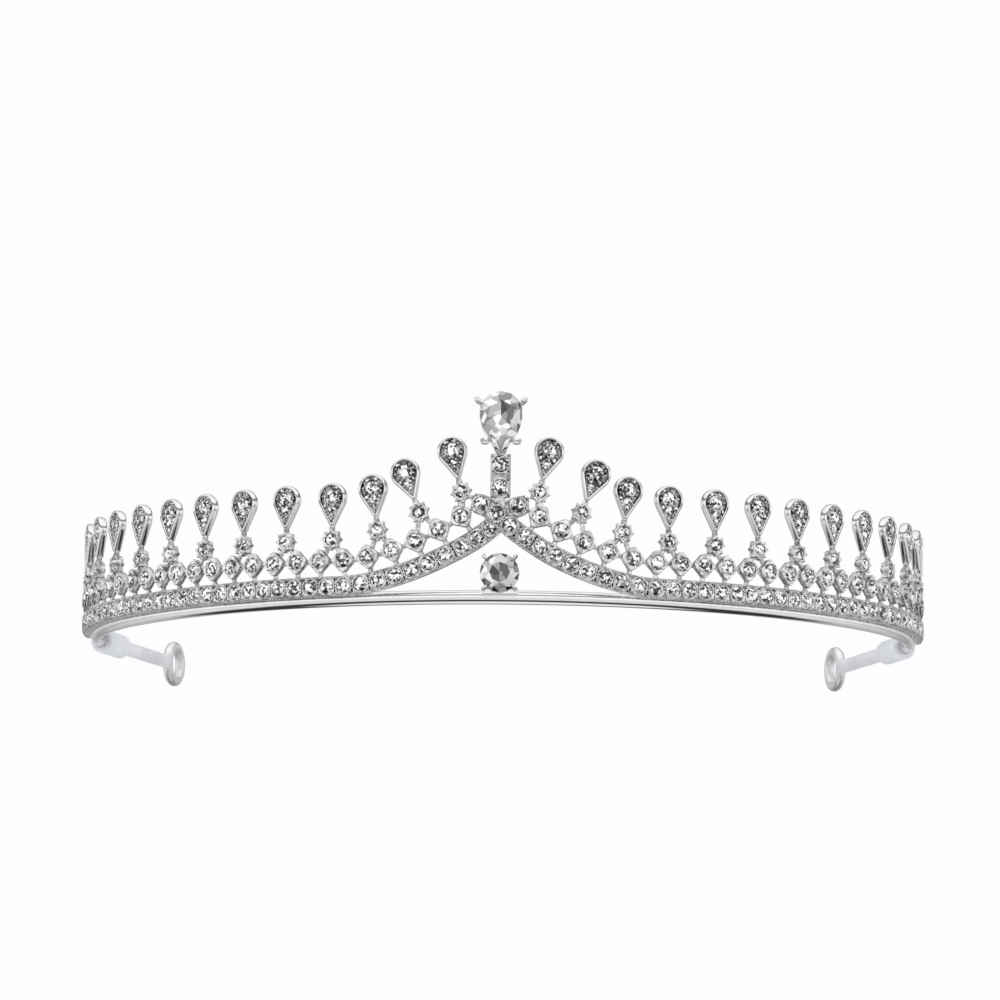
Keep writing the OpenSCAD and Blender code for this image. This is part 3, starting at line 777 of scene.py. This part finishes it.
for sideName, side in sideSign.items():
    stars = [starSpot(i) for i in range(1, rowPlan["drops"] + 1)]
    starSpots = [spot(side, s, z, a) for s, z, a in stars]
    keep(plant(sideName + "StarStones", starStone, starSpots, cutCrystal, silverFoil), "crystal",
         sideName + "_star_stones")
    cups = plant(sideName + "StarCups", starCup, starSpots, castPlating)
    legs = Shape()
    for i, (s, z, a) in enumerate(stars, 1):
        here = inMillimetres(spot(side, s, z))
        for j in [0] if i == 1 else [2 * i - 3, 2 * i - 2]:
            away = Vector((side * (rowSeats[j][0] - s), 0, rowSeats[j][1] - z))
            far = away.length
            way = away / far
            legs.tube([here @ (way * 1.1 + Vector((0, linkSizes["y"], 0))),
                       here @ (way * (far - 1.5) + Vector((0, linkSizes["y"], 0)))],
                      linkSizes["leg"] * (1.5 if i == 1 else 1), 8)
        leaned = inMillimetres(spot(side, s, z, a))
        legs.tube([leaned @ Vector((0, -0.75, 1.1)), leaned @ Vector((0, -0.75, rowPlan["dropGap"] - 0.1)),
                   leaned @ Vector((0, -0.8, rowPlan["dropGap"] + 0.15))], [linkSizes["stem"],
                                                                            linkSizes["stem"] * 0.85,
                                                                            linkSizes["stem"] * 0.6], 8)
    keep(joined(sideName + "Stars", [cups, legs.piece(sideName + "StarLegs", [castPlating])]), "plating",
         sideName + "_star_seats")
print("stars ready")

dropSizes = {"height": 7.2, "width": 4.9, "depth": 1.48, "rim": 0.52, "floor": 0.2, "tip": 0.45,
             "headSteps": 30, "tipSteps": 8, "stoneY": -1.1, "grain": 0.22, "grainIn": 0.22, "stoneIn": 0.1}


def dropOutline(cut):
    headR = dropSizes["width"] / 2
    headUp = dropSizes["height"] - headR
    flank = asin((headR - dropSizes["tip"]) / (headUp - dropSizes["tip"]))
    r = headR - cut
    t = max(0.1, dropSizes["tip"] - cut)
    low = dropSizes["tip"] + max(0, cut + t - dropSizes["tip"]) / sin(flank)
    head = [(r * cos(a), headUp + r * sin(a)) for a in
            [-flank + k * (pi + 2 * flank) / dropSizes["headSteps"]
             for k in range(dropSizes["headSteps"] + 1)]]
    return head + [(t * cos(a), low + t * sin(a)) for a in
                   [pi + flank + k * (pi - 2 * flank) / dropSizes["tipSteps"]
                    for k in range(dropSizes["tipSteps"] + 1)]]


def dropRim(name, place):
    deep, rim, floorY = dropSizes["depth"], dropSizes["rim"], dropSizes["floor"]
    profile = [(0.35, 0), (0.12, 0.12), (0, 0.45), (0, deep - 0.55), (0.04, deep - 0.3), (0.13, deep - 0.1),
               (0.26, deep), (0.4, deep - 0.06),
               (rim - 0.03, deep - 0.2), (rim, deep - 0.4), (rim, floorY + 0.1), (rim + 0.1, floorY)]
    shape = Shape()
    shape.loft([[(x, -y, z) for x, z in dropOutline(cut)] for cut, y in profile], place=place)
    return shape.piece(name, [polishedPlating], 50)


# size, sideways, height above the tip
dropStones = [(2.5, 0, 4.85), (1.45, 0, 2.95), (0.8, 0, 1.85), (0.62, -1.12, 3.5), (0.62, 1.12, 3.5),
              (0.6, -0.78, 6.28), (0.6, 0.78, 6.28)]
grains = [(1.5 * cos(a), 4.85 + 1.5 * sin(a)) for a in [radians(t) for t in (5, 38, 75, 105, 142, 175, 205,
                                                                             335)]]
grains += [(0.72, 3.72), (-0.72, 3.72), (0.85, 2.6), (-0.85, 2.6), (0.5, 2.15), (-0.5, 2.15), (0.0, 1.25),
           (0.3, 1.5), (-0.3, 1.5)]
unitStone = sample(roundStone("unitStone", 1, 0))

for sideName, side in sideSign.items():
    stoneSpots, stoneSizes = [], []
    for i in range(1, rowPlan["drops"] + 1):
        s, z, lean = starSpot(i)
        place = spot(side, s, z, lean) @ Matrix.Translation((0, 0, rowPlan["dropGap"] * mm))
        label = sideName + "Drop" + str(i)
        rim = dropRim(label + "Rim", inMillimetres(place))
        grainSpots = [place @ Matrix.Translation(Vector((side * x, dropSizes["stoneY"] - dropSizes["grainIn"],
                                                         up)) * mm) for x, up in grains]
        grainPiece = plant(label + "Grains", bead, grainSpots, castPlating,
                           sizes=[dropSizes["grain"]] * len(grains))
        keep(joined(label, [rim, grainPiece]), "plating", sideName + "_drop_" + str(i))
        for d, x, up in dropStones:
            stoneSpots.append(place @ Matrix.Translation(Vector((side * x, dropSizes["stoneY"] - dropSizes["stoneIn"], up)) * mm))
            stoneSizes.append(d)
    keep(plant(sideName + "DropStones", unitStone, stoneSpots, cutCrystal, silverFoil, stoneSizes), "crystal",
         sideName + "_drop_stones")
print("drops ready")

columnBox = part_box("column")
columnZ, columnTop = columnBox[0][2] / mm, columnBox[1][2] / mm
columnSizes = {"half": 1.65, "depth": 1.42, "cell": [2.35, 6.25], "bead": 0.22, "beadPitch": 0.52,
               "cupBack": 0.06, "scale": 1.12}
column = Shape()
w, tall = columnSizes["half"], columnTop - columnZ
outline = [(0, 0.05), (w - 0.05, 1.15), (w, 1.3), (w, tall - 0.1), (w - 0.1, tall), (-w + 0.1, tall),
           (-w, tall - 0.1), (-w, 1.3), (-w + 0.05, 1.15)]


def columnBlock(low, high, half, deep):  # a block across the column, from its back to deep
    column.loft([[(x * f, frameBackY - y, columnZ + z) for x,
                  z in ((-half, low), (half, low), (half, high), (-half, high))]
                 for y, f in ((0.05, 0.96), (0.15, 1), (deep - 0.12, 1), (deep, 0.94))])


column.loft([[(x * f, frameBackY - y, columnZ + z) for x, z in outline] for y,
             f in ((0, 0.96), (0.08, 1), (0.2, 0.98))])
middle = sum(columnSizes["cell"]) / 2
columnBlock(middle - 0.4, middle + 0.4, w - 0.05, 1.0)
columnBlock(tall - 0.7, tall, w - 0.1, 1.0)
columnBlock(-0.7, 0.8, 0.75, 1.1)
for k in (-1, 0, 1):  # ridges of the plain stretch
    z = columnZ + middle + 0.3 * k
    column.tube([(-w + 0.1, frameBackY - 1.05, z), (w - 0.1, frameBackY - 1.05, z)], 0.16, 8)
columnBody = column.piece("columnBody", [castPlating])
columnSpots = [Matrix.Translation(Vector((0, frameBackY, columnZ + z)) * mm) for z in columnSizes["cell"]]
cupSpots = [Matrix.Translation((0, -columnSizes["cupBack"] * mm, 0)) @ place for place in columnSpots]
columnCups = plant("columnCups", railTile, cupSpots, castPlating, sizes=[columnSizes["scale"]] * 2)
edgeBeads = [Matrix.Translation(Vector((x, frameBackY - 1.25,
                                        columnZ + 1.45 + columnSizes["beadPitch"] * k)) * mm)
             for x in (-w + 0.2, w - 0.2) for k in range(floor((tall - 1.6) / columnSizes["beadPitch"]) + 1)]
columnBeads = plant("columnBeads", bead, edgeBeads, castPlating, sizes=[columnSizes["bead"]] * len(edgeBeads))
keep(joined("columnPost", [columnBody, columnCups, columnBeads]), "plating", "column")
keep(plant("columnStones", rowStone, columnSpots, cutCrystal, silverFoil, [columnSizes["scale"]] * 2),
     "crystal", "column_stones")

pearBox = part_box("pear_stone")
pearSizes = {"wide": 7, "tall": 10, "girdle": -2.3, "heart": 5.7}
pearZ = pearBox[0][2] / mm
pearCut = {"table": 0.6, "star": 0.82, "crown": 0.2, "starRise": 0.55, "girdle": 0.03, "pavilion": 0.3}


def pearOutline(count=64, grow=0.0):
    wide, tall = pearSizes["wide"], pearSizes["tall"]
    r = wide / 2
    low = tall - r
    big = (low * low + r * r) / (2 * r)
    turn = asin(low / big)
    head = [(r * cos(k * pi / 24), low + r * sin(k * pi / 24)) for k in range(25)]
    leftSide = [(big - r - big * cos(k * turn / 14), low - big * sin(k * turn / 14)) for k in range(1, 15)]
    rightSide = [(r - big + big * cos(k * turn / 14), low - big * sin(k * turn / 14))
                 for k in range(13, 0, -1)]
    line = head + leftSide + rightSide
    if grow:
        c = (0, pearSizes["heart"])
        line = [(c[0] + (x - c[0]) * (1 + grow / hypot(x - c[0], z - c[1])),
                 c[1] + (z - c[1]) * (1 + grow / hypot(x - c[0], z - c[1])))
                for x, z in line]
    return line


pearLine = pearOutline()


def pearRadius(a):
    way = (cos(a), sin(a))
    best = 0
    for (x1, z1), (x2, z2) in zip(pearLine, pearLine[1:] + pearLine[:1]):
        z1, z2 = z1 - pearSizes["heart"], z2 - pearSizes["heart"]
        ex, ez = x2 - x1, z2 - z1
        cross = way[0] * ez - way[1] * ex
        if abs(cross) > 1e-9:
            t = (x1 * ez - z1 * ex) / cross
            u = (x1 * way[1] - z1 * way[0]) / cross
            if t > 0 and -1e-6 <= u <= 1 + 1e-6:
                best = max(best, t)
    return best


# painted reflections: a few table and crown facets of the pear get the grey and dark facet finishes
pearStone = cutStone("pearStone", pearRadius, (0, pearZ + pearSizes["heart"]), pearSizes["wide"], pearCut,
                     pearSizes["girdle"],
                      (clearFacet, greyFacet, darkFacet), (1, 2, 0, 0, 0, 0, 0, 1),
                      (0, 1, 0, 0, 0, 0, 0, 0, 0, 0, 0, 0, 0, 0, 2, 0))
for v in pearStone.data.vertices:
    v.co.y += frameBackY * mm
keep(pearStone, "crystal", "pear_stone")

pearSetting = Shape()
mid = (0, frameBackY, pearZ)


def at(x, y, z):
    return (mid[0] + x, mid[1] + y, mid[2] + z)


for y, grow, r in ((-1.75, -0.4, 0.2), (-0.6, -0.95, 0.34)):  # rims of the basket
    ringLine = pearOutline(grow=grow)
    loops = []
    n = len(ringLine)
    for k, (x, z) in enumerate(ringLine):
        a, b = ringLine[k - 1], ringLine[(k + 1) % n]
        out = Vector((b[1] - a[1], 0, a[0] - b[0])).normalized()
        loops.append([Vector(at(x, y, z)) + r * (cos(t) * out + sin(t) * Vector((0, 1, 0)))
                      for t in [2 * pi * m / 8 for m in range(8)]])
    pearSetting.loft(loops, closed=True)
for angle in (20, 60, 90, 120, 160, 200, 235, 270, 305, 340):  # struts between the rims
    a = radians(angle)
    r = pearRadius(a)
    c, s = cos(a), sin(a)
    pearSetting.tube([at(c * (r - 0.7), -0.6, pearSizes["heart"] + s * (r - 0.7)),
                      at(c * (r - 0.45), -1.75, pearSizes["heart"] + s * (r - 0.45))], 0.2, 6)
for x in (-1, 1):  # claws
    pearSetting.tube([at(x * 3.0, -0.7, 7.9), at(x * 3.75, -1.6, 8.3), at(x * 3.95, -2.5, 8.5),
                      at(x * 3.75, -3.05, 8.45), at(x * 3.3, -3.2, 8.2)],
                     [0.3, 0.34, 0.36, 0.4, 0.26], 10)
    pearSetting.ball(at(x * 3.85, -2.75, 8.45), 0.52, 8, 12)
    pearSetting.tube([at(x * 1.9, -0.7, 2.2), at(x * 2.5, -1.6, 1.7), at(x * 2.9, -2.4, 1.55),
                      at(x * 3.05, -2.8, 1.75), at(x * 2.8, -3.1, 2.0)],
                     [0.3, 0.32, 0.36, 0.36, 0.24], 10)
    pearSetting.tube([at(x * 2.0, -2.5, 1.5), at(x * 2.6, -2.75, 1.35), at(x * 3.15, -2.8, 1.5)],
                     [0.24, 0.34, 0.26], 10)
    pearSetting.tube([at(x * 0.35, -1.4, -0.1), at(x * 0.6, -2.6, 0.5), at(x * 0.95, -2.95, 1.3),
                      at(x * 1.15, -3.05, 2.3), at(x * 1.1, -2.95, 3.0)],
                     [0.35, 0.5, 0.52, 0.34, 0.12], 10)
pearSetting.tube([at(0, -0.3, 0.1), at(0, -0.5, 1.2)], [0.9, 0.5], 12)
keep(pearSetting.piece("pearBasket", [polishedPlating], 60), "plating", "pear_setting")

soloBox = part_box("solitaire_stone")
soloZ = (soloBox[0][2] + soloBox[1][2]) / 2 / mm
soloSizes = {"across": 6.4, "girdle": -2.05, "half": 3.05, "tall": 3.25, "gallery": 0.78}
soloCut = {"table": 0.52, "star": 0.78, "crown": 0.15, "starRise": 0.6, "girdle": 0.03, "pavilion": 0.3}
# painted reflections: most table facets and every other crown facet of the centre stone get the grey and dark
# facet finishes
solo = cutStone("centreStone", lambda a: soloSizes["across"] / 2, (0, soloZ), soloSizes["across"], soloCut,
                soloSizes["girdle"], (clearFacet, greyFacet, darkFacet), (2, 2, 1, 2, 2, 2, 1, 2), (0, 2) * 8)
for v in solo.data.vertices:
    v.co.y += frameBackY * mm
keep(solo, "crystal", "solitaire_stone")
mid = (0, frameBackY, soloZ)
soloSetting = Shape()
hw, hh = soloSizes["half"], soloSizes["tall"]


def squareLoop(x, z, corner, y):
    points = []
    for cx, cz, start in ((x, z, 0), (-x, z, 90), (-x, -z, 180), (x, -z, 270)):
        for k in range(5):
            a = radians(start + 90 * k / 4)
            points.append(at((cx - corner if cx > 0 else cx + corner) + corner * cos(a), y,
                             (cz - corner if cz > 0 else cz + corner) + corner * sin(a)))
    return points


back = soloSizes["gallery"]  # the square gallery is smaller than the stone and sits behind it
soloSetting.loft([squareLoop(hw * back - cut, hh * back - cut, 0.5, y) for cut, y in
                  ((0.3, 0), (0, -0.35), (0, -0.7), (0.12, -0.85), (0.4, -0.85), (0.5, -0.7),
                   (0.5, 0))], closed=True)
soloSetting.loft([[at(x, y, -hh + z) for x, z in ((-hw + 0.1, 0), (hw - 0.1, 0), (hw, 0.35), (-hw, 0.35))]
                  for y in (-0.1, -1.5)])
for x in (-1, 1):
    for z in (-1, 1):
        soloSetting.tube([at(x * 2.1, -0.5, z * 2.2), at(x * 2.5, -1.5, z * 2.6), at(x * 2.6, -2.2, z * 2.68),
                          at(x * 2.35, -2.62, z * 2.4),
                          at(x * 2.05, -2.68, z * 2.1)], [0.3, 0.34, 0.36, 0.26, 0.08], 10)
keep(soloSetting.piece("centreSeat", [polishedPlating], 50), "plating", "solitaire_setting")
print("centre ready")

for master in samples:
    bpy.data.objects.remove(master)

floorSizes = {"half": 3.0, "height": -0.14}
floorMesh = bpy.data.meshes.new("floor")
e, h = floorSizes["half"], floorSizes["height"]
floorMesh.from_pydata([(-e, -e, h), (e, -e, h), (e, e, h), (-e, e, h)], [], [(0, 1, 2, 3)])
floorPiece = bpy.data.objects.new("floor", floorMesh)
bpy.context.scene.collection.objects.link(floorPiece)
paleFloor, nodes, links, shader = newFinish("paleFloor")
links.new(tones(nodes, links, objectNoise(nodes, links, 3), (0.86, 0.86, 0.87), (0.9, 0.9, 0.9)),
          shader.inputs["Base Color"])
shader.inputs["Roughness"].default_value = 0.7
floorMesh.materials.append(paleFloor)

tentSizes = {"radius": 0.5, "bottom": -0.13, "glow": 1.1, "behind": 0.55}
# height in the tent, from bottom to top, and how bright its cloth is there
tentTones = [(0, 0.85), (0.06, 0.8), (0.09, 0.04), (0.18, 0.03), (0.22, 0.6), (0.33, 0.8), (0.4, 0.55),
             (0.48, 0.9), (0.66, 1), (0.71, 0.25), (0.78, 0.25),
             (0.83, 1), (1, 1)]


def tentCloth():
    cloth = bpy.data.materials.new("tentCloth")
    cloth.use_nodes = True
    nodes, links = cloth.node_tree.nodes, cloth.node_tree.links
    nodes.clear()
    where, unit, parts, height = (nodes.new(k)
                                  for k in ("ShaderNodeTexCoord", "ShaderNodeVectorMath",
                                            "ShaderNodeSeparateXYZ", "ShaderNodeMapRange"))
    ramp, glow, out = (nodes.new(k) for k in ("ShaderNodeValToRGB", "ShaderNodeEmission",
                                              "ShaderNodeOutputMaterial"))
    unit.operation = "NORMALIZE"
    height.inputs["From Min"].default_value = -1
    while len(ramp.color_ramp.elements) < len(tentTones):
        ramp.color_ramp.elements.new(0.5)
    for element, (place, tone) in zip(ramp.color_ramp.elements, tentTones):
        element.position, element.color = place, (tone, tone, tone * 1.01, 1)
    links.new(where.outputs["Object"], unit.inputs[0])
    links.new(unit.outputs["Vector"], parts.inputs["Vector"])
    links.new(parts.outputs["Z"], height.inputs["Value"])
    links.new(height.outputs["Result"], ramp.inputs["Fac"])
    links.new(ramp.outputs["Color"], glow.inputs["Color"])
    depth = nodes.new("ShaderNodeMapRange")  # the cloth is darker behind the piece
    depth.inputs["To Min"].default_value = tentSizes["glow"]
    depth.inputs["To Max"].default_value = tentSizes["behind"]
    links.new(parts.outputs["Y"], depth.inputs["Value"])
    links.new(depth.outputs["Result"], glow.inputs["Strength"])
    links.new(glow.outputs["Emission"], out.inputs["Surface"])
    return cloth


tentMesh = bpy.data.meshes.new("lightTent")
tentWork = bmesh.new()
bmesh.ops.create_uvsphere(tentWork, u_segments=48, v_segments=32, radius=tentSizes["radius"])
for v in tentWork.verts:  # the tent stands on the floor
    v.co *= min(1, tentSizes["bottom"] / v.co.z) if v.co.z < 0 else 1
tentWork.to_mesh(tentMesh)
tentWork.free()
tentMesh.materials.append(tentCloth())
tent = bpy.data.objects.new("lightTent", tentMesh)
bpy.context.scene.collection.objects.link(tent)
tent.visible_camera = tent.visible_shadow = tent.visible_diffuse = False  # only reflections see it

sky = bpy.data.worlds.new("studio")
bpy.context.scene.world = sky
sky.use_nodes = True
sky.node_tree.nodes["Background"].inputs["Color"].default_value = (0.98, 0.985, 0.99, 1)
sky.node_tree.nodes["Background"].inputs["Strength"].default_value = 1.0

lamps = {"key": {"at": (-0.5, -0.7, 0.6), "size": 0.5, "power": 1.2},
         "fill": {"at": (0.7, -0.5, 0.4), "size": 0.5, "power": 0.8},
         "top": {"at": (0, 0.1, 0.9), "size": 0.7, "power": 1}}
for name, lamp in lamps.items():
    data = bpy.data.lights.new(name, "AREA")
    data.shape, data.size, data.energy = "DISK", lamp["size"], lamp["power"]
    light = bpy.data.objects.new(name, data)
    light.location = lamp["at"]
    light.rotation_euler = (Vector((0, 0, 0)) - light.location).to_track_quat("-Z", "Y").to_euler()
    light.visible_glossy = False
    bpy.context.scene.collection.objects.link(light)

shot = {"distance": 600, "elevation": -7.6, "yaw": 0.58, "roll": 0.53, "lens": 133.9,
        "shift": (0.0005, 0.0965)}
cameraData = bpy.data.cameras.new("camera")
cameraData.lens, cameraData.sensor_width = shot["lens"], 36
cameraData.shift_x, cameraData.shift_y = shot["shift"]
cameraData.clip_start, cameraData.clip_end = 0.01, 20
camera = bpy.data.objects.new("camera", cameraData)
aim = Vector((0, frameBackY, wireMidZ)) * mm
el, yaw = radians(shot["elevation"]), radians(shot["yaw"])
offset = Vector((sin(yaw) * cos(el), -cos(yaw) * cos(el), sin(el))) * shot["distance"] * mm
camera.location = aim + offset
look = (-offset).to_track_quat("-Z", "Y").to_matrix().to_4x4() @ Matrix.Rotation(radians(shot["roll"]), 4,
                                                                                 "Z")
camera.rotation_euler = look.to_euler()
bpy.context.scene.collection.objects.link(camera)
bpy.context.scene.camera = camera
bpy.context.scene.view_settings.view_transform = "Standard"

print("scene ready")
